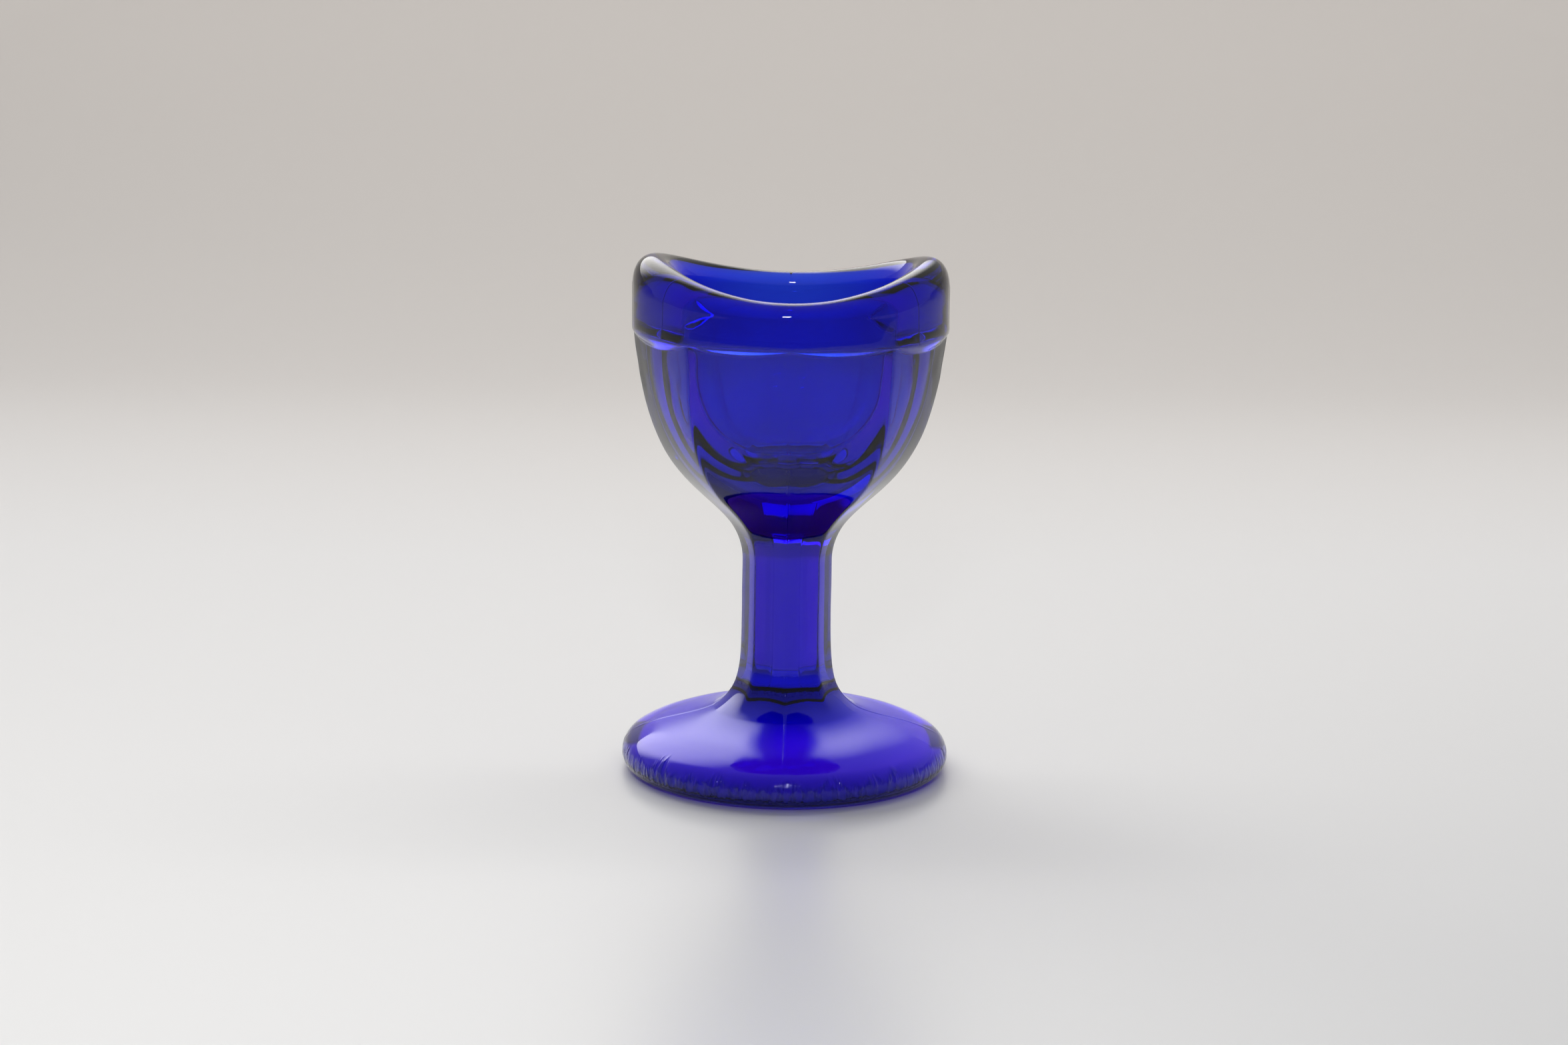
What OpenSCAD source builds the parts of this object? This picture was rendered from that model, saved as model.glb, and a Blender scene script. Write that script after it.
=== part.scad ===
// Eye wash cup in cobalt glass: an oval bowl with a saddle-shaped rim, on an
// eight-sided stem and a round foot. Sizes are in millimetres. The rest face of
// the foot is at z = 0, the raised ends of the rim lie on +X and -X, and the
// front is -Y. The real cup is one pressed piece of glass: its four regions are
// separate solids here, and they meet on level planes.

/* [Foot] */
// Diameter of the foot
foot_d = 42; // [36:0.5:48]
// Height at which the flare of the stem runs out on top of the foot
foot_h = 8.1; // [7.5:0.1:9]
// Radius of the lower half of the rounded edge
edge_low_r = 2.2; // [1.5:0.1:2.6]
// Radius of the upper half of the rounded edge
edge_top_r = 2.9; // [2:0.1:3.5]
// Depth of the shallow hollow under the foot
hollow_h = 0.5; // [0.2:0.1:1]
// Width of the flat ring that the foot rests on
rest_ring_w = 2.2; // [1:0.1:4]

/* [Stem] */
// Width of the stem across two opposite corners
stem_w = 11.5; // [10:0.1:14]
// Width of the flare across two opposite corners, where it meets the foot
flare_w = 18.6; // [16:0.1:22]
// Height over which the flare dies away
flare_fade = 2.2; // [1.5:0.1:3]
// Height at which the neck starts to open into the bowl
neck_h = 27.5; // [24:0.5:29]
// Radius of the hollow curve of the neck
neck_r = 8; // [6:0.5:10]
// Angle that the neck turns outward
neck_turn = 41.5; // [36:0.5:46]

/* [Bowl] */
// Height of the ledge where the panels end and the smooth band starts
ledge_h = 57; // [55:0.5:59]
// Step from the band in to the corners of the panels
corner_step = 0.15; // [0.1:0.05:0.3]
// Outward lean of the bowl at the ledge, as width over height
ledge_lean = 0.1; // [0.05:0.01:0.2]
// How far the panels bulge at the ledge: 1 follows the oval
panel_bulge = 0.3; // [0.25:0.05:0.8]
// Height of the bottom of the cavity
cavity_floor_h = 39.4; // [37.4:0.5:42.4]
// Exponent of the curve of the cavity: higher is fuller
cavity_fullness = 3.6; // [2:0.1:4]

/* [Rim] */
// Width of the band from one raised end to the other
band_w = 39.9; // [38:0.1:42]
// Depth of the band from front to back
band_d = 33.8; // [32:0.1:36]
// Amount that the front and back of the band lean in below the lip
band_lean = 0.4; // [0:0.1:0.8]
// Height of the low middle of the rim
rim_mid_h = 62.6; // [61.5:0.5:65]
// Radius of the hollow curve that the rim follows from end to end
saddle_r = 38; // [34:1:60]
// Distance from the outside of the band to the crest of the lip, at the ends
crest_in_end = 3.9; // [3:0.1:4.5]
// The same distance at the front and back
crest_in_mid = 1.95; // [1.5:0.05:2.5]
// Distance from the crest to the cavity wall, at the ends
mouth_in_end = 1.5; // [1:0.1:2.5]
// The same distance at the front and back
mouth_in_mid = 1.65; // [1:0.05:2.5]

/* [Hidden] */
cobalt = [0.12, 0.13, 0.66];
sides = 8;
side_angle = 360 / sides;
around = 72;
stem_around = 48;
round_fn = 128;
step = 360 / around;

// Slopes of the top of the foot, at the stem and at the edge
dome_slope_in = 24;
dome_slope_out = 31;
// Height above the foot over which the corners of the flare fade to round
corner_fade_h = 3.5;
// Lengths of the two handles of the bowl's curve
bowl_handle_low = 6.8;
bowl_handle_top = 18.3;
// Where along that curve the bowl ends and the rim begins, below the ledge
rim_split = 0.97;
// Height over width of the small bevel under the band
bevel_slope = 0.9;
// Heights over which the lip rounds off, outside and inside
lip_drop_end = 5.4;
lip_drop_mid = 1.9;
mouth_drop_end = 2.2;
mouth_drop_mid = 1.7;
// Height above which the cavity wall is upright
cavity_top_h = 60;

band_a = band_w / 2;
band_b = band_d / 2;
crest_a = band_a - crest_in_end;
crest_b = band_b - band_lean - crest_in_mid;
mouth_a = crest_a - mouth_in_end;
mouth_b = crest_b - mouth_in_mid;
neck_top = [stem_w / 2 + neck_r * (1 - cos(neck_turn)), neck_h + neck_r * sin(neck_turn)];
ledge_corner = [band_a - corner_step, ledge_h];
bowl_curve = [
    neck_top,
    neck_top + bowl_handle_low * [sin(neck_turn), cos(neck_turn)],
    ledge_corner - bowl_handle_top * [ledge_lean, 1],
    ledge_corner
];
depth_ratio = band_d / band_w;
split_h = bezier(bowl_curve, rim_split)[1];

// Point at t on a cubic curve with four control points
function bezier(p, t) =
    pow(1 - t, 3) * p[0] + 3 * pow(1 - t, 2) * t * p[1]
    + 3 * (1 - t) * t * t * p[2] + pow(t, 3) * p[3];

// Points of an arc about c, from angle a0 to a1
function arc(c, r, a0, a1, n) =
    [for (i = [0 : n]) let (a = a0 + (a1 - a0) * i / n) c + r * [cos(a), sin(a)]];

// Distance from the centre to an oval with half-axes a and b
function oval_r(a, b, angle) = a * b / norm([b * cos(angle), a * sin(angle)]);

// The same for the eight flat sides whose corners lie on that oval
function panel_r(a, b, angle) =
    let (
        start = side_angle * floor(angle / side_angle),
        past = angle - start,
        c0 = oval_r(a, b, start),
        c1 = oval_r(a, b, start + side_angle)
    )
    c0 * c1 * sin(side_angle) / (c0 * sin(past) + c1 * sin(side_angle - past));

function at(r, angle, z) = [r * cos(angle), r * sin(angle), z];
function mix(from, to, t) = from + (to - from) * t;
function smooth(t) = let (u = min(max(t, 0), 1)) u * u * (3 - 2 * u);

// Rise from the neck to the ledge, eased from 0 to 1
function rise_at(z) = smooth((z - neck_top[1]) / (ledge_h - neck_top[1]));

// Outside of the bowl at an angle, for a point [half-width, height] of its curve:
// round at the neck and oval at the ledge, where the panels bulge most
function bowl_r(p, angle) =
    let (rise = rise_at(p[1]), depth = p[0] * mix(1, depth_ratio, rise))
    mix(panel_r(p[0], depth, angle), oval_r(p[0], depth, angle), panel_bulge * rise);

// How far the oval cavity has opened at height z, from 0 to 1
function cavity_open(z) =
    let (down = min(max((cavity_top_h - z) / (cavity_top_h - cavity_floor_h), 0), 1))
    sqrt(1 - pow(down, cavity_fullness));
function cavity_r(angle, z) = cavity_open(z) * oval_r(mouth_a, mouth_b, angle);

// Height of the saddle surface that the lip follows
function saddle_z(x) = rim_mid_h + saddle_r - sqrt(saddle_r * saddle_r - x * x);

// A value that goes from mid at the front and back to end at the raised ends
function swing(mid, end, angle) = mix(mid, end, pow(cos(angle), 2));

// Triangles between a stack of rings of n points; a loop joins last to first,
// and otherwise both ends are closed with flat faces
function skin(rings, n, loop) = concat(
    [for (j = [0 : rings - (loop ? 1 : 2)], i = [0 : n - 1], half = [0, 1])
        let (
            k = (i + 1) % n,
            low = j * n,
            top = ((j + 1) % rings) * n
        )
        half == 0 ? [low + i, top + i, low + k] : [low + k, top + i, top + k]],
    loop ? [] : [
        [for (i = [0 : n - 1]) i],
        [for (i = [n - 1 : -1 : 0]) (rings - 1) * n + i]
    ]
);

module shell(rings, loop = false) {
    polyhedron(
        points = [for (ring = rings) each ring],
        faces = skin(len(rings), len(rings[0]), loop),
        convexity = 6
    );
}

// One level ring of the bowl's panels
function panel_ring(p, n) =
    [for (i = [0 : n - 1]) let (angle = 360 * i / n)
        at(bowl_r(p, angle), angle, p[1])];

module rim() {
    lip_steps = 6;
    wall_steps = 4;
    // Drop from the ledge to where the bevel meets each panel
    function bevel_drop(angle) =
        (oval_r(band_a, band_b, angle) - bowl_r(ledge_corner, angle))
        / (1 / bevel_slope - ledge_lean);
    function band_r(angle, lean) = oval_r(band_a, band_b - lean, angle);
    function crest_r(angle) = oval_r(crest_a, crest_b, angle);
    function mouth_r(angle) = oval_r(mouth_a, mouth_b, angle);
    function lip_point(angle, r, drop) = at(r, angle, saddle_z(r * cos(angle)) - drop);
    function outer_lip(angle, turn) = lip_point(
        angle,
        mix(crest_r(angle), band_r(angle, band_lean), sin(turn)),
        swing(lip_drop_mid, lip_drop_end, angle) * (1 - cos(turn)));
    function inner_lip(angle, turn) = lip_point(
        angle,
        mix(crest_r(angle), mouth_r(angle), sin(turn)),
        swing(mouth_drop_mid, mouth_drop_end, angle) * (1 - cos(turn)));
    angles = [for (i = [0 : around - 1]) i * step];
    split_point = bezier(bowl_curve, rim_split);
    color(cobalt) shell(concat(
        [panel_ring(split_point, around)],
        [[for (a = angles) let (drop = bevel_drop(a))
            at(band_r(a, 0) - drop / bevel_slope, a, ledge_h - drop)]],
        [[for (a = angles) at(band_r(a, 0), a, ledge_h)]],
        [for (turn = [90 : -90 / lip_steps : 0]) [for (a = angles) outer_lip(a, turn)]],
        [for (s = [1 : lip_steps]) [for (a = angles) inner_lip(a, 90 * s / lip_steps)]],
        [for (s = [1 : wall_steps]) [for (a = angles)
            let (z = mix(inner_lip(a, 90)[2], split_h, s / wall_steps))
            at(cavity_r(a, z), a, z)]]
    ), loop = true);
}

module bowl() {
    outer_steps = 16;
    inner_steps = 14;
    color(cobalt) shell(concat(
        [for (s = [0 : outer_steps])
            panel_ring(bezier(bowl_curve, rim_split * s / outer_steps), around)],
        // Heights bunch together towards the bottom, where the curve is tightest
        [for (s = [inner_steps : -1 : 1])
            let (z = mix(cavity_floor_h, split_h, pow(s / inner_steps, 2)))
            [for (i = [0 : around - 1]) at(cavity_r(i * step, z), i * step, z)]]
    ));
}

module stem() {
    flare_steps = 14;
    neck_steps = 10;
    flare_top_h = foot_h + 12;
    // Half-width across corners while the flare dies away
    function flare_at(z) =
        stem_w / 2 + (flare_w - stem_w) / 2 * exp((foot_h - z) / flare_fade);
    function stem_ring(p) =
        let (square = smooth((p[1] - foot_h) / corner_fade_h))
        [for (i = [0 : stem_around - 1]) let (angle = 360 * i / stem_around)
            at(mix(p[0], panel_r(p[0], p[0], angle), square), angle, p[1])];
    color(cobalt) shell(concat(
        [for (s = [0 : flare_steps])
            let (z = mix(foot_h, flare_top_h, pow(s / flare_steps, 2)))
            stem_ring([flare_at(z), z])],
        [for (p = arc([stem_w / 2 + neck_r, neck_h], neck_r, 180, 180 - neck_turn, neck_steps))
            stem_ring(p)]
    ));
}

module foot() {
    r = foot_d / 2;
    rest_r = r - edge_low_r;
    dome_end = [r - edge_top_r, edge_low_r] + edge_top_r * [sin(dome_slope_out), cos(dome_slope_out)];
    dome_start = [flare_w / 2, foot_h];
    handle = (dome_end[0] - dome_start[0]) / 3;
    dome = [
        dome_end,
        dome_end + handle * [-1, tan(dome_slope_out)],
        dome_start + handle * [1, -tan(dome_slope_in)],
        dome_start
    ];
    hollow_edge = rest_r - rest_ring_w;
    hollow_sphere_r = (pow(hollow_edge, 2) + pow(hollow_h, 2)) / (2 * hollow_h);
    hollow_angle = asin(hollow_edge / hollow_sphere_r);
    color(cobalt) rotate_extrude($fn = round_fn) polygon(concat(
        arc([0, hollow_h - hollow_sphere_r], hollow_sphere_r, 90, 90 - hollow_angle, 6),
        arc([rest_r, edge_low_r], edge_low_r, -90, 0, 8),
        arc([r - edge_top_r, edge_low_r], edge_top_r, 5, 90 - dome_slope_out, 8),
        [for (s = [1 : 8]) bezier(dome, s / 8)],
        [[0, foot_h]]
    ));
}

rim();
bowl();
stem();
foot();
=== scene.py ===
"""Eye wash cup in cobalt glass, seen from the front on a pale floor.

The cup is one pressed piece of glass, so one closed surface stands for all four CAD
nodes. It is built as rings of points from the middle of the underside, out over the
foot, up the stem and bowl, over the lip and down to the bottom of the cavity.
Lengths are in millimetres up to the point where the mesh is made. The front is -Y.
"""

import bpy
import numpy as np
from mathutils import Matrix, Vector


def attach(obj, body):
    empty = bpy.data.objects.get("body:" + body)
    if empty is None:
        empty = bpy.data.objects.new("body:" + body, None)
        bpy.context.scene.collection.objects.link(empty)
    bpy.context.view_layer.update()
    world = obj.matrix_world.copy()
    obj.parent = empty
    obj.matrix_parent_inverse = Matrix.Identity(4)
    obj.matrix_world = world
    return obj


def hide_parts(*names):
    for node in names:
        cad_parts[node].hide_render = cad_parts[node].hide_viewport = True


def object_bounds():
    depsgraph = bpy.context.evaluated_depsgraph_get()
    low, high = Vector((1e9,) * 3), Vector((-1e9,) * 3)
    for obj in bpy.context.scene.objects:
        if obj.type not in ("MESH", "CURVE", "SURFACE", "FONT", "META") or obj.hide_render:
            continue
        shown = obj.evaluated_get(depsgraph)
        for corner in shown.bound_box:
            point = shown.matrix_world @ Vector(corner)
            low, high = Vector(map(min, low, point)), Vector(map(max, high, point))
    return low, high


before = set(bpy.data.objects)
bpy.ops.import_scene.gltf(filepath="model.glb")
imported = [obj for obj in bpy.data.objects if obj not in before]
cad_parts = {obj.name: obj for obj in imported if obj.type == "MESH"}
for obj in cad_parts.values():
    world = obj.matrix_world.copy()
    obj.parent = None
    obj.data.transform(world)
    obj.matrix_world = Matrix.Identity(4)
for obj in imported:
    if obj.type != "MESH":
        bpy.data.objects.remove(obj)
cad_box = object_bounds()

MM = 0.001

# ---------------------------------------------------------------- dimensions
FOOT_R = 21.0
FOOT_H = 8.1
EDGE_LOW_R = 2.2
EDGE_TOP_R = 2.9
HOLLOW_H = 0.5
REST_RING_W = 2.2
DOME_SLOPE_IN = 24.0
DOME_SLOPE_OUT = 31.0

STEM_R = 5.75
FLARE_R = 9.3
FLARE_FADE = 2.2
FLARE_TOP = 20.0
CORNER_FADE_H = 3.5
NECK_H = 27.5
NECK_R = 8.0
NECK_TURN = 41.5

LEDGE_H = 57.0
CORNER_STEP = 0.15
LEDGE_LEAN = 0.1
BEVEL_SLOPE = 0.9
# How far the panels bulge at the ledge: 1 follows the oval
PANEL_BULGE = 0.3
# Lengths of the curve's handles at the neck and at the ledge
HANDLE_LOW = 6.8
HANDLE_TOP = 18.3
# Share of that curve used before the bevel under the band
SPLIT = 0.97

BAND_A = 19.95
BAND_B = 16.9
BAND_LEAN = 0.4
RIM_MID_H = 62.6
SADDLE_R = 38.0
CREST_A = BAND_A - 3.9
CREST_B = BAND_B - BAND_LEAN - 1.95
MOUTH_A = CREST_A - 1.5
MOUTH_B = CREST_B - 1.65
LIP_DROP = (1.9, 5.4)
MOUTH_DROP = (1.7, 2.2)

CAVITY_TOP = 60.0
CAVITY_FLOOR = 39.4
CAVITY_FULLNESS = 3.6
# Below this height the rows of the cavity crowd towards its floor
CAVITY_ROWS_SPLIT = 52.0

SIDES = 8
SECTOR = 360.0 / SIDES
COLUMNS_PER_SIDE = 56
# How strongly the columns of points crowd towards the corners, from 0 to 1
CROWDING = 0.8
# Softness of the corners between panels
CORNER_SOFT = 0.16
# Passes that round off the edges of the ledge
LEDGE_PASSES = 4
# Rows below the bevel that the rounding also takes in, and rows kept clear of the lip
LEDGE_MARGIN = 8
LIP_MARGIN = 3
SEAM_H = 0.06
SEAM_W = 0.16
WAVE_H = 0.012
LEDGE_WAVE_H = 0.018
CAVITY_WAVE_H = 0.02
# Height band of the extra waves under the ledge
LEDGE_WAVE_DROP = 4.0
# Deepest chill mark, and the heights between which the marks lie
STROKE_DEPTH = 0.035
STROKE_LOW = 1.0
STROKE_TOP = 3.5

# --------------------------------------------------------------------- looks
POLISHED_ROUGHNESS = 0.01
WORN_ROUGHNESS = 0.7
# Radius of the worn part of the underside
WORN_R = 18.6
# Wear on the top of the foot, as a share of the underside's, and where it fades out
DOME_WEAR = 0.32
DOME_WEAR_OUT = 19.0
DOME_WEAR_IN = 5.5
STROKE_WEAR = 0.12
GLASS_IOR = 1.52
CAVITY_TINT = (0.006, 0.64, 0.82, 1)
# Painted shade: a darker base colour on the chill marks, standing for the dark streaks that light
# bending through them gives
STROKE_PAINTED_SHADE = (0.10, 0.02, 0.5, 1)
ABSORPTION_COLOR = (0.47, 0.0, 0.924, 1)
ABSORPTION_DENSITY = 755.0


# ------------------------------------------------------------------- helpers
def mix(a, b, t):
    return a + (b - a) * t


def smooth(t):
    t = np.clip(t, 0.0, 1.0)
    return t * t * (3.0 - 2.0 * t)


def sind(a):
    return np.sin(np.radians(a))


def cosd(a):
    return np.cos(np.radians(a))


def bezier(points, t):
    p0, p1, p2, p3 = (np.array(p, float) for p in points)
    s = 1.0 - t
    return s**3 * p0 + 3 * s * s * t * p1 + 3 * s * t * t * p2 + t**3 * p3


def steps(n, start=0):
    return [i / n for i in range(start, n + 1)]


# ------------------------------------------------------------ shape of the cup
def column_angles(crowding):
    """Angles of the columns, in degrees, crowded towards the eight corners."""
    u = np.arange(COLUMNS_PER_SIDE) / COLUMNS_PER_SIDE
    within = u - crowding / (2 * np.pi) * np.sin(2 * np.pi * u)
    return np.concatenate([SECTOR * (k + within) for k in range(SIDES)])


ANGLES = column_angles(CROWDING)
COS = cosd(ANGLES)


def oval(a, b, angle=ANGLES):
    return a * b / np.hypot(b * cosd(angle), a * sind(angle))


def panels(a, b, soft=CORNER_SOFT):
    """Distance to eight flat sides, with corners on an oval, slightly rounded."""
    total = np.zeros_like(ANGLES)
    for k in range(SIDES):
        past = (ANGLES - SECTOR * k + 180.0) % 360.0 - 180.0
        c0, c1 = oval(a, b, SECTOR * k), oval(a, b, SECTOR * (k + 1))
        spread = c0 * sind(past) + c1 * sind(SECTOR - past)
        near = (past > -SECTOR * 0.9) & (past < SECTOR * 1.9)
        line = np.where(near, c0 * c1 * sind(SECTOR) / np.where(near, spread, 1.0), 1e3)
        total += np.exp(-(line - a * 0.7) / soft)
    return a * 0.7 - soft * np.log(total)


def saddle(x):
    return RIM_MID_H + SADDLE_R - np.sqrt(SADDLE_R**2 - x**2)


def swing(pair):
    """Blends from the first value at the front and back to the second at the ends."""
    return mix(pair[0], pair[1], COS**2)


def cavity(z):
    down = np.clip((CAVITY_TOP - z) / (CAVITY_TOP - CAVITY_FLOOR), 0.0, 1.0)
    return np.sqrt(1.0 - down**CAVITY_FULLNESS) * oval(MOUTH_A, MOUTH_B)


class Rings:
    """Rows of points round the cup, each with a radius and a height per column."""

    def __init__(self):
        self.r, self.z, self.zone = [], [], []

    def add(self, r, z, zone):
        self.r.append(np.broadcast_to(r, ANGLES.shape).astype(float))
        self.z.append(np.broadcast_to(z, ANGLES.shape).astype(float))
        self.zone.append(zone)


def foot_rings(rings):
    rest_r = FOOT_R - EDGE_LOW_R
    hollow_r = rest_r - REST_RING_W
    sphere = (hollow_r**2 + HOLLOW_H**2) / (2 * HOLLOW_H)
    for t in steps(10, 1):
        r = hollow_r * t
        rings.add(r, HOLLOW_H - sphere + np.sqrt(sphere**2 - r * r), "under")
    for t in steps(4, 1):
        rings.add(mix(hollow_r, rest_r, t), 0.0, "rest")
    for t in steps(12, 1):
        a = mix(-90.0, 0.0, t)
        rings.add(rest_r + EDGE_LOW_R * cosd(a), EDGE_LOW_R * (1 + sind(a)), "edge")
    for t in steps(14, 1):
        a = mix(0.0, 90.0 - DOME_SLOPE_OUT, t)
        rings.add(FOOT_R - EDGE_TOP_R * (1 - cosd(a)), EDGE_LOW_R + EDGE_TOP_R * sind(a), "edge")
    end = np.array([rings.r[-1][0], rings.z[-1][0]])
    start = np.array([FLARE_R, FOOT_H])
    handle = (end[0] - start[0]) / 3
    curve = [
        end,
        end + handle * np.array([-1.0, np.tan(np.radians(DOME_SLOPE_OUT))]),
        start + handle * np.array([1.0, -np.tan(np.radians(DOME_SLOPE_IN))]),
        start,
    ]
    for t in steps(22, 1):
        r, z = bezier(curve, t)
        rings.add(r, z, "dome")


def stem_rings(rings):
    def section(r, z):
        square = smooth((z - FOOT_H) / CORNER_FADE_H)
        rings.add(mix(r, panels(r, r), square), z, "stem")

    for t in steps(22, 1):
        z = mix(FOOT_H, FLARE_TOP, t**1.6)
        section(STEM_R + (FLARE_R - STEM_R) * np.exp((FOOT_H - z) / FLARE_FADE), z)
    for t in steps(8, 1):
        section(STEM_R, mix(FLARE_TOP, NECK_H, t))
    for t in steps(14, 1):
        a = NECK_TURN * t
        section(STEM_R + NECK_R * (1 - cosd(a)), NECK_H + NECK_R * sind(a))


def bowl_rings(rings):
    neck = np.array([STEM_R + NECK_R * (1 - cosd(NECK_TURN)), NECK_H + NECK_R * sind(NECK_TURN)])
    corner = np.array([BAND_A - CORNER_STEP, LEDGE_H])
    curve = [
        neck,
        neck + HANDLE_LOW * np.array([sind(NECK_TURN), cosd(NECK_TURN)]),
        corner - HANDLE_TOP * np.array([LEDGE_LEAN, 1.0]),
        corner,
    ]

    def section(r, z):
        rise = (z - neck[1]) / (LEDGE_H - neck[1])
        depth = r * mix(1.0, BAND_B / BAND_A, smooth(rise))
        return mix(panels(r, depth), oval(r, depth), PANEL_BULGE * smooth(rise))

    for t in steps(34, 1):
        r, z = bezier(curve, SPLIT * t)
        rings.add(section(r, z), z, "bowl")
    low_r, low_z = rings.r[-1], rings.z[-1]
    edge = oval(BAND_A, BAND_B)
    overhang = edge - section(*corner)
    drop = overhang / (1 / BEVEL_SLOPE - LEDGE_LEAN)
    top_r, top_z = edge - drop / BEVEL_SLOPE, LEDGE_H - drop
    for t in steps(5, 1):
        rings.add(mix(low_r, top_r, t), mix(low_z, top_z, t), "bowl")
    for t in steps(6, 1):
        rings.add(mix(top_r, edge, t), mix(top_z, LEDGE_H, t), "bevel")


def rim_rings(rings):
    crest, mouth = oval(CREST_A, CREST_B), oval(MOUTH_A, MOUTH_B)

    def lip(inside, turn):
        wall = mouth if inside else oval(BAND_A, BAND_B - BAND_LEAN)
        drop = swing(MOUTH_DROP if inside else LIP_DROP)
        r = mix(crest, wall, sind(turn))
        return r, saddle(r * COS) - drop * (1 - cosd(turn))

    base_r, base_z = rings.r[-1], rings.z[-1]
    lip_r, lip_z = lip(False, 90.0)
    for t in steps(14, 1):
        rings.add(mix(base_r, lip_r, t), mix(base_z, lip_z, t), "band")
    for t in steps(16, 1):
        rings.add(*lip(False, 90.0 * (1 - t)), "lip")
    for t in steps(12, 1):
        rings.add(*lip(True, 90.0 * t), "lip")
    top = rings.z[-1]
    for t in steps(14, 1):
        z = mix(top, CAVITY_ROWS_SPLIT, t)
        rings.add(cavity(z), z, "cavity")
    for t in steps(24, 1)[:-1]:
        z = mix(CAVITY_FLOOR, CAVITY_ROWS_SPLIT, (1 - t) ** 2)
        rings.add(cavity(z), z, "cavity")


def waves(points, wavelength, seed, count=14):
    """Smooth, seeded noise of about unit size, as a sum of plane waves."""
    rng = np.random.default_rng(seed)
    directions = rng.normal(size=(count, 3))
    directions /= np.linalg.norm(directions, axis=1)[:, None]
    lengths = wavelength * rng.uniform(0.7, 1.5, count)
    phases = rng.uniform(0, 2 * np.pi, count)
    total = np.zeros(points.shape[:-1])
    for d, length, phase in zip(directions, lengths, phases):
        total += np.sin(points @ d * (2 * np.pi / length) + phase)
    return total / np.sqrt(count / 2)


def grid_normals(p):
    along = np.gradient(p, axis=0)
    around = np.roll(p, -1, axis=1) - np.roll(p, 1, axis=1)
    n = np.cross(around, along)
    return n / np.maximum(np.linalg.norm(n, axis=2, keepdims=True), 1e-9)


def ripples(angles, seed, low=52, high=110, count=30):
    """Seeded ripples round the cup, up from zero, whose size also varies round it."""
    rng = np.random.default_rng(seed)
    turns = rng.integers(low, high, count)
    phases = rng.uniform(0, 2 * np.pi, count)
    rad = np.radians(angles)
    total = sum(np.sin(n * rad + phase) for n, phase in zip(turns, phases))
    return np.maximum(total / np.sqrt(count / 2) + 0.3, 0.0)


def cup_points():
    rings = Rings()
    foot_rings(rings)
    stem_rings(rings)
    bowl_rings(rings)
    rim_rings(rings)
    zone = np.array(rings.zone)
    r, z = np.array(rings.r), np.array(rings.z)
    # The foot is round, so its columns are even and only crowd as they near the stem
    dome = np.cumsum(zone == "dome") / np.sum(zone == "dome")
    angles = np.array([column_angles(CROWDING * smooth(d)) for d in dome])
    return r, z, angles, zone


def soften_ledge(r, z, zone):
    """Rounds the ledge as fire polishing does, by averaging neighbouring rows."""
    near = np.isin(zone, ["bevel", "band"])
    near[:-LEDGE_MARGIN] |= near[LEDGE_MARGIN:]
    first_lip = np.flatnonzero(zone == "lip")[0]
    near[first_lip - LIP_MARGIN :] = False
    for _ in range(LEDGE_PASSES):
        for field in (r, z):
            middle = 0.25 * field[:-2] + 0.5 * field[1:-1] + 0.25 * field[2:]
            field[1:-1][near[1:-1]] = middle[near[1:-1]]


def surface_lift(p, angles, zone):
    """Small departures from the ideal shape: waves and mould seams."""
    lift = np.zeros(p.shape[:2])
    outside = np.isin(zone, ["dome", "stem", "bowl", "bevel", "band", "lip"])
    lift[outside] += WAVE_H * waves(p[outside], 7.0, seed=3)
    near = np.exp(-(((p[..., 2] - LEDGE_H + LEDGE_WAVE_DROP) / LEDGE_WAVE_DROP) ** 2))
    ledge = near * np.isin(zone, ["bowl", "bevel"])[:, None]
    lift += LEDGE_WAVE_H * ledge * waves(p, 3.0, seed=8)
    inside = zone == "cavity"
    lift[inside] += CAVITY_WAVE_H * waves(p[inside], 9.0, seed=5)
    moulded = np.isin(zone, ["dome", "stem", "bowl", "bevel", "band"])
    from_seam = (angles[moulded] + 45.0) % 90.0 - 45.0
    arc = np.radians(from_seam) * np.hypot(p[moulded, :, 0], p[moulded, :, 1])
    lift[moulded] += SEAM_H * np.exp(-((arc / SEAM_W) ** 2))
    return lift


def stroke_reach(p, angles, zone):
    """Where the chill marks lie: on the rounded edge of the foot, up to a ragged line."""
    height = p[..., 2]
    ragged = ripples(angles, seed=21, low=9, high=40, count=16)
    reach = smooth((height - STROKE_LOW) / 0.9) * smooth((STROKE_TOP + 0.6 * ragged - height) / 0.8)
    return reach * np.isin(zone, ["edge", "dome"])[:, None]


def chill_marks(p, angles, reach):
    """Short upright strokes pressed into the edge of the foot."""
    height = p[..., 2]
    strokes = ripples(angles + 0.5 * np.sin(height * 1.9), seed=11)
    strokes += 0.6 * ripples(angles - 0.6 * np.sin(height * 2.7), seed=12)
    shrink = 1.0 - STROKE_DEPTH * reach * strokes / FOOT_R
    p[..., 0] *= shrink
    p[..., 1] *= shrink


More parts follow.
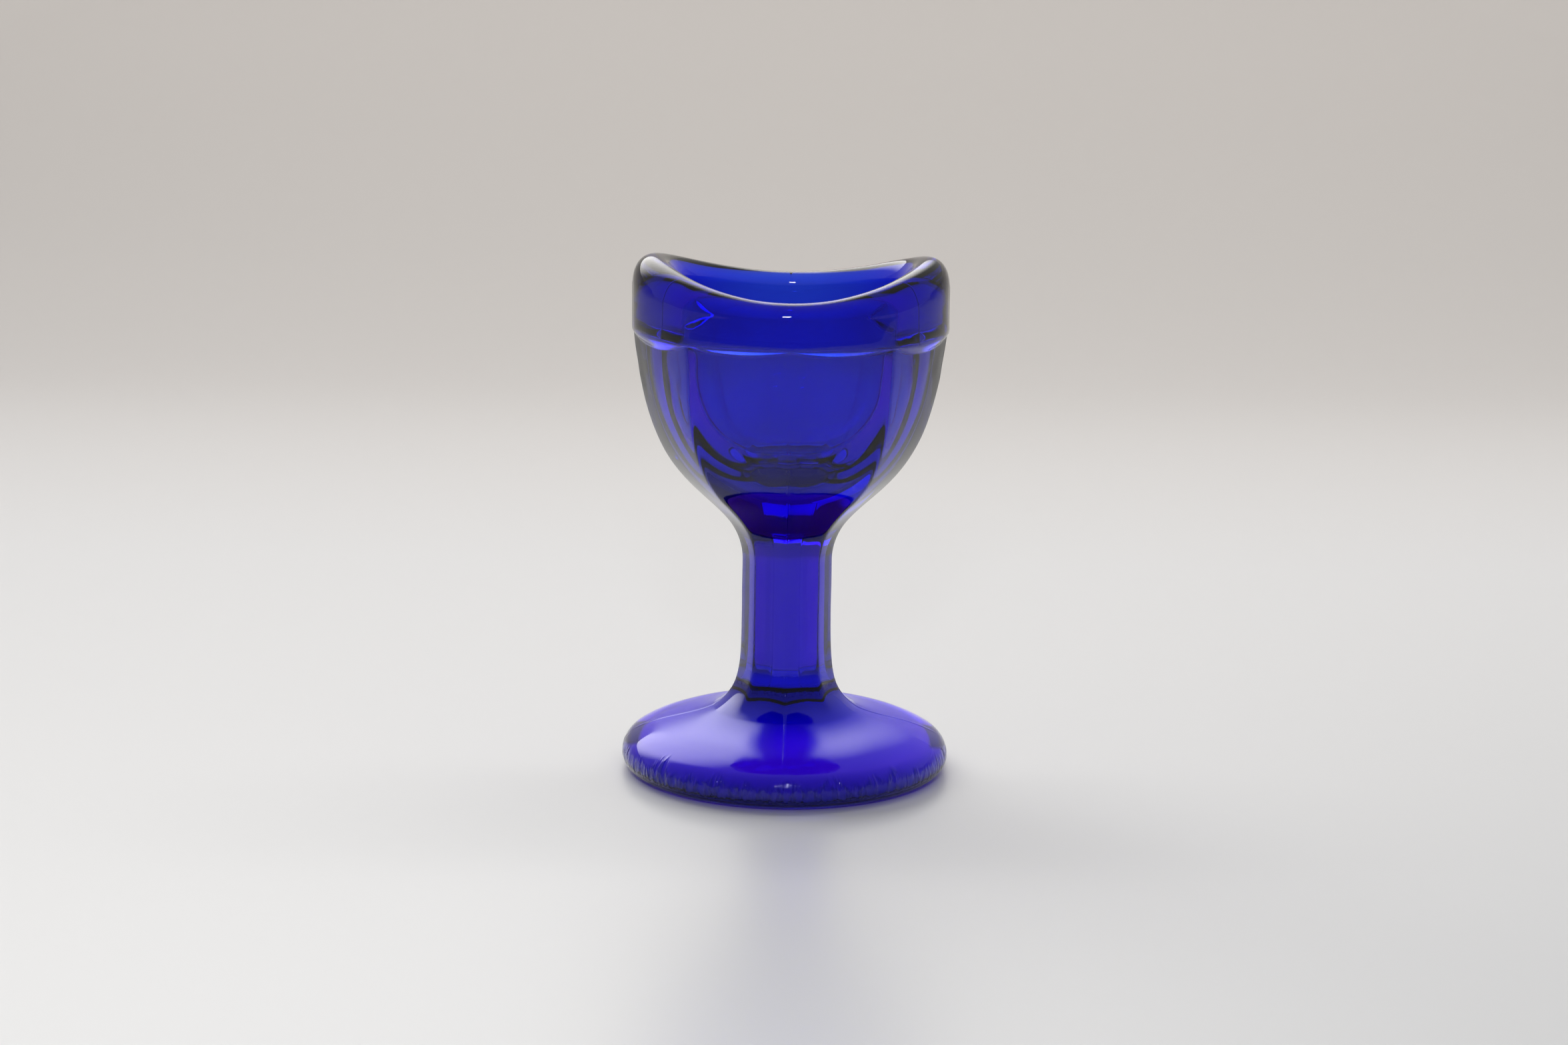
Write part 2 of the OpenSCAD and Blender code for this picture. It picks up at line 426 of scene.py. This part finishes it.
def build_cup():
    r, z, angles, zone = cup_points()
    soften_ledge(r, z, zone)
    p = np.stack([r * cosd(angles), r * sind(angles), z], axis=2)
    p = p + grid_normals(p) * surface_lift(p, angles, zone)[..., None]
    reach = stroke_reach(p, angles, zone)
    chill_marks(p, angles, reach)

    rows, columns = p.shape[:2]
    verts = [(0.0, 0.0, HOLLOW_H)]
    verts += [tuple(v) for v in p.reshape(-1, 3)]
    verts += [(0.0, 0.0, CAVITY_FLOOR)]
    last = len(verts) - 1
    faces = []
    for i in range(columns):
        k = (i + 1) % columns
        faces.append((0, 1 + k, 1 + i))
        for j in range(rows - 1):
            low, top = 1 + j * columns, 1 + (j + 1) * columns
            faces.append((low + i, low + k, top + k, top + i))
        end = 1 + (rows - 1) * columns
        faces.append((end + i, end + k, last))
    mesh = bpy.data.meshes.new("glass_cup")
    mesh.from_pydata([tuple(c * MM for c in v) for v in verts], [], faces)
    mesh.update()
    for poly in mesh.polygons:
        poly.use_smooth = True
    inner = (zone == "cavity")[:, None] * np.ones(columns)
    lips = np.flatnonzero(zone == "lip")
    inner[lips] = smooth(np.linspace(0.0, 1.6, len(lips)))[:, None]
    worn = smooth((WORN_R - r) / 0.8) * (zone == "under")[:, None]
    dome = smooth((DOME_WEAR_OUT - r) / 3.0) * smooth((r - DOME_WEAR_IN) / 2.5)
    worn += DOME_WEAR * dome * (zone == "dome")[:, None]
    masks = (("inner", inner, 0.0, 1.0), ("worn", worn, 1.0, 0.0), ("strokes", reach, 0.0, 0.0))
    for name, values, first, end in masks:
        mask = mesh.attributes.new(name, "FLOAT", "POINT")
        mask.data.foreach_set("value", np.concatenate([[first], values.ravel(), [end]]))
    cup = bpy.data.objects.new("glass_cup", mesh)
    bpy.context.scene.collection.objects.link(cup)
    return cup


# ------------------------------------------------------------------ materials
def mix_colors(nt, factor, from_color, to_color):
    """A colour mix from an output, or from white, to a plain colour."""
    blend = nt.nodes.new("ShaderNodeMix")
    blend.data_type = "RGBA"
    blend.inputs[6].default_value = (1, 1, 1, 1)
    blend.inputs[7].default_value = to_color
    nt.links.new(factor, blend.inputs["Factor"])
    if from_color:
        nt.links.new(from_color, blend.inputs[6])
    return blend.outputs[2]


def cobalt_glass():
    """Clear cobalt glass: the volume takes out the red and green.

    Cobalt glass lets some deep red through where it is thick and looks a purer blue
    where it is thin, which plain absorption can't give, so the thin walls round the
    cavity carry a faint cyan tint on their inner surface. The underside and the top
    of the foot are worn, and the chill marks are rougher and carry painted shade, a
    darker base colour that stands for the streaks light makes bending through them.
    """
    mat = bpy.data.materials.new("cobalt_glass")
    mat.use_nodes = True
    nt = mat.node_tree
    shader = nt.nodes["Principled BSDF"]
    shader.inputs["Transmission Weight"].default_value = 1.0
    shader.inputs["IOR"].default_value = GLASS_IOR
    worn = nt.nodes.new("ShaderNodeAttribute")
    worn.attribute_name = "worn"
    rough = nt.nodes.new("ShaderNodeMapRange")
    rough.inputs["To Min"].default_value = POLISHED_ROUGHNESS
    rough.inputs["To Max"].default_value = WORN_ROUGHNESS
    place = nt.nodes.new("ShaderNodeTexCoord")
    strokes = stroke_noise(nt, place)
    broken = nt.nodes.new("ShaderNodeMath")
    broken.operation = "MULTIPLY_ADD"
    broken.inputs[1].default_value = STROKE_WEAR
    nt.links.new(strokes, broken.inputs[0])
    nt.links.new(worn.outputs["Fac"], broken.inputs[2])
    nt.links.new(broken.outputs["Value"], rough.inputs["Value"])
    nt.links.new(rough.outputs["Result"], shader.inputs["Roughness"])
    nt.links.new(glass_relief(nt, place, strokes), shader.inputs["Normal"])
    inner = nt.nodes.new("ShaderNodeAttribute")
    inner.attribute_name = "inner"
    tint = mix_colors(nt, inner.outputs["Fac"], None, CAVITY_TINT)
    # Painted shade: the chill marks darken the base colour
    painted_mark_shade = mix_colors(nt, strokes, tint, STROKE_PAINTED_SHADE)
    nt.links.new(painted_mark_shade, shader.inputs["Base Color"])
    absorb = nt.nodes.new("ShaderNodeVolumeAbsorption")
    absorb.inputs["Color"].default_value = ABSORPTION_COLOR
    absorb.inputs["Density"].default_value = ABSORPTION_DENSITY
    nt.links.new(absorb.outputs["Volume"], nt.nodes["Material Output"].inputs["Volume"])
    return mat


def stroke_noise(nt, place):
    """Noise that runs upright round the edge of the foot, masked to the chill marks.

    It is read at the direction from the axis, with the height squeezed.
    """
    level = nt.nodes.new("ShaderNodeVectorMath")
    level.operation = "MULTIPLY"
    level.inputs[1].default_value = (1.0, 1.0, 0.0)
    around = nt.nodes.new("ShaderNodeVectorMath")
    around.operation = "NORMALIZE"
    squeeze = nt.nodes.new("ShaderNodeVectorMath")
    squeeze.operation = "MULTIPLY"
    squeeze.inputs[1].default_value = (0.0, 0.0, 14.0)
    both = nt.nodes.new("ShaderNodeVectorMath")
    noise = nt.nodes.new("ShaderNodeTexNoise")
    noise.inputs["Scale"].default_value = 42.0
    noise.inputs["Detail"].default_value = 1.5
    contrast = nt.nodes.new("ShaderNodeMapRange")
    contrast.inputs["From Min"].default_value = 0.40
    contrast.inputs["From Max"].default_value = 0.60
    masked = nt.nodes.new("ShaderNodeMath")
    masked.operation = "MULTIPLY"
    mask = nt.nodes.new("ShaderNodeAttribute")
    mask.attribute_name = "strokes"
    nt.links.new(place.outputs["Object"], level.inputs[0])
    nt.links.new(level.outputs["Vector"], around.inputs[0])
    nt.links.new(place.outputs["Object"], squeeze.inputs[0])
    nt.links.new(around.outputs["Vector"], both.inputs[0])
    nt.links.new(squeeze.outputs["Vector"], both.inputs[1])
    nt.links.new(both.outputs["Vector"], noise.inputs["Vector"])
    nt.links.new(noise.outputs["Fac"], contrast.inputs["Value"])
    nt.links.new(contrast.outputs["Result"], masked.inputs[0])
    nt.links.new(mask.outputs["Fac"], masked.inputs[1])
    return masked.outputs["Value"]


def glass_relief(nt, place, strokes):
    """Fine relief: a faint orange peel all over, and strokes on the edge of the foot."""
    peel = nt.nodes.new("ShaderNodeTexNoise")
    peel.inputs["Scale"].default_value = 420.0
    peel.inputs["Detail"].default_value = 1.0
    peel_bump = nt.nodes.new("ShaderNodeBump")
    peel_bump.inputs["Strength"].default_value = 0.6
    peel_bump.inputs["Distance"].default_value = 0.006 * MM
    stroke_bump = nt.nodes.new("ShaderNodeBump")
    stroke_bump.inputs["Strength"].default_value = 1.0
    stroke_bump.inputs["Distance"].default_value = 0.06 * MM
    nt.links.new(place.outputs["Object"], peel.inputs["Vector"])
    nt.links.new(peel.outputs["Fac"], peel_bump.inputs["Height"])
    nt.links.new(strokes, stroke_bump.inputs["Height"])
    nt.links.new(peel_bump.outputs["Normal"], stroke_bump.inputs["Normal"])
    return stroke_bump.outputs["Normal"]


def floor_paint():
    """Pale paint that warms a little from the floor up to the wall."""
    mat = bpy.data.materials.new("floor_paint")
    mat.use_nodes = True
    nt = mat.node_tree
    shader = nt.nodes["Principled BSDF"]
    shader.inputs["Roughness"].default_value = 0.35
    place = nt.nodes.new("ShaderNodeTexCoord")
    split = nt.nodes.new("ShaderNodeSeparateXYZ")
    rise = nt.nodes.new("ShaderNodeMapRange")
    blend = nt.nodes.new("ShaderNodeMix")
    blend.data_type = "RGBA"
    rise.inputs["From Min"].default_value = 0.12
    rise.inputs["From Max"].default_value = 0.7
    blend.inputs[6].default_value = (0.78, 0.80, 0.83, 1)
    blend.inputs[7].default_value = (0.66, 0.60, 0.54, 1)
    nt.links.new(place.outputs["Object"], split.inputs["Vector"])
    nt.links.new(split.outputs["Y"], rise.inputs["Value"])
    nt.links.new(rise.outputs["Result"], blend.inputs["Factor"])
    nt.links.new(blend.outputs[2], shader.inputs["Base Color"])
    return mat


# ---------------------------------------------------------------------- stage
def make_camera():
    cam = bpy.data.objects.new("camera", bpy.data.cameras.new("camera"))
    bpy.context.scene.collection.objects.link(cam)
    cam.data.sensor_width = 36.0
    cam.data.lens = 76.7
    cam.data.clip_start = 0.01
    place = Matrix.Translation((-0.47 * MM, -417.25 * MM, 121.2 * MM))
    tilt = Matrix.Rotation(np.radians(90.0 - 12.03), 4, "X")
    roll = Matrix.Rotation(np.radians(0.81), 4, "Z")
    cam.matrix_world = place @ tilt @ roll
    bpy.context.scene.camera = cam


def area_light(name, at, aim, size, watts, color):
    data = bpy.data.lights.new(name, "AREA")
    data.shape = "RECTANGLE"
    data.size, data.size_y = size
    data.energy = watts
    data.color = color
    lamp = bpy.data.objects.new(name, data)
    bpy.context.scene.collection.objects.link(lamp)
    lamp.location = at
    lamp.rotation_mode = "QUATERNION"
    lamp.rotation_quaternion = (Vector(aim) - Vector(at)).to_track_quat("-Z", "Y")
    return lamp


def make_sweep():
    """A pale floor that curves up into a wall well behind the cup."""
    near, bend, radius, top, half = -1.2, 0.28, 0.14, 0.18, 1.3
    line = [(near, 0.0), (bend, 0.0)]
    line += [(bend + radius * sind(a), radius * (1 - cosd(a))) for a in range(6, 90, 6)]
    line += [(bend + radius, radius), (bend + radius, top)]
    verts = [(x, y, z) for y, z in line for x in (-half, half)]
    faces = [(2 * i, 2 * i + 1, 2 * i + 3, 2 * i + 2) for i in range(len(line) - 1)]
    mesh = bpy.data.meshes.new("floor")
    mesh.from_pydata(verts, [], faces)
    for poly in mesh.polygons:
        poly.use_smooth = True
    floor = bpy.data.objects.new("floor", mesh)
    floor.location.z = cad_box[0].z - 0.03 * MM
    bpy.context.scene.collection.objects.link(floor)
    mesh.materials.append(floor_paint())


def make_world():
    """A plain dome of light: soft and wide behind on the left, dimmer in front."""
    world = bpy.data.worlds.new("studio")
    world.use_nodes = True
    bpy.context.scene.world = world
    nt = world.node_tree
    back = nt.nodes["Background"]
    place = nt.nodes.new("ShaderNodeTexCoord")
    split = nt.nodes.new("ShaderNodeSeparateXYZ")
    level = nt.nodes.new("ShaderNodeMapRange")
    level.interpolation_type = "SMOOTHSTEP"
    level.inputs["From Min"].default_value = -0.9
    level.inputs["From Max"].default_value = 0.7
    level.inputs["To Min"].default_value = 0.17
    level.inputs["To Max"].default_value = 0.45
    toward = nt.nodes.new("ShaderNodeVectorMath")
    toward.operation = "DOT_PRODUCT"
    toward.inputs[1].default_value = Vector((-0.33, 0.79, 0.54)).normalized()
    window = nt.nodes.new("ShaderNodeMapRange")
    window.interpolation_type = "SMOOTHSTEP"
    window.inputs["From Min"].default_value = 0.80
    window.inputs["From Max"].default_value = 0.98
    window.inputs["To Max"].default_value = 3.0
    total = nt.nodes.new("ShaderNodeMath")
    back.inputs["Color"].default_value = (0.95, 0.93, 0.90, 1)
    nt.links.new(place.outputs["Generated"], split.inputs["Vector"])
    nt.links.new(split.outputs["Y"], level.inputs["Value"])
    nt.links.new(place.outputs["Generated"], toward.inputs[0])
    nt.links.new(toward.outputs["Value"], window.inputs["Value"])
    nt.links.new(level.outputs["Result"], total.inputs[0])
    nt.links.new(window.outputs["Result"], total.inputs[1])
    nt.links.new(total.outputs["Value"], back.inputs["Strength"])


def make_lights():
    """A front lamp for the glints, one over the wall, and the glow caught under the foot."""
    area_light("front_lamp", (-0.01, -0.374, 0.226), (0, 0, 0.035), (0.035, 0.035), 0.17, (1, 1, 1))
    wall_at, wall_aim, warm = (0, 0.16, 0.42), (0, 0.42, 0.03), (1, 0.95, 0.9)
    wall_lamp = area_light("wall_lamp", wall_at, wall_aim, (0.9, 0.12), 1.55, warm)
    wall_lamp.visible_glossy = False
    wall_lamp.visible_transmission = False
    glow_r = FOOT_R - EDGE_LOW_R
    under = area_light("under_glow", (0, 0, -0.01 * MM), (0, 0, 1), (1, 1), 0.005, (1, 1, 1))
    under.data.shape = "DISK"
    under.data.size = 2 * glow_r * MM


make_camera()
bpy.context.scene.view_settings.view_transform = "Standard"
cup = build_cup()
cup.data.materials.append(cobalt_glass())
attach(cup, "root")
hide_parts("rim", "bowl", "stem", "foot")
make_sweep()
make_world()
make_lights()
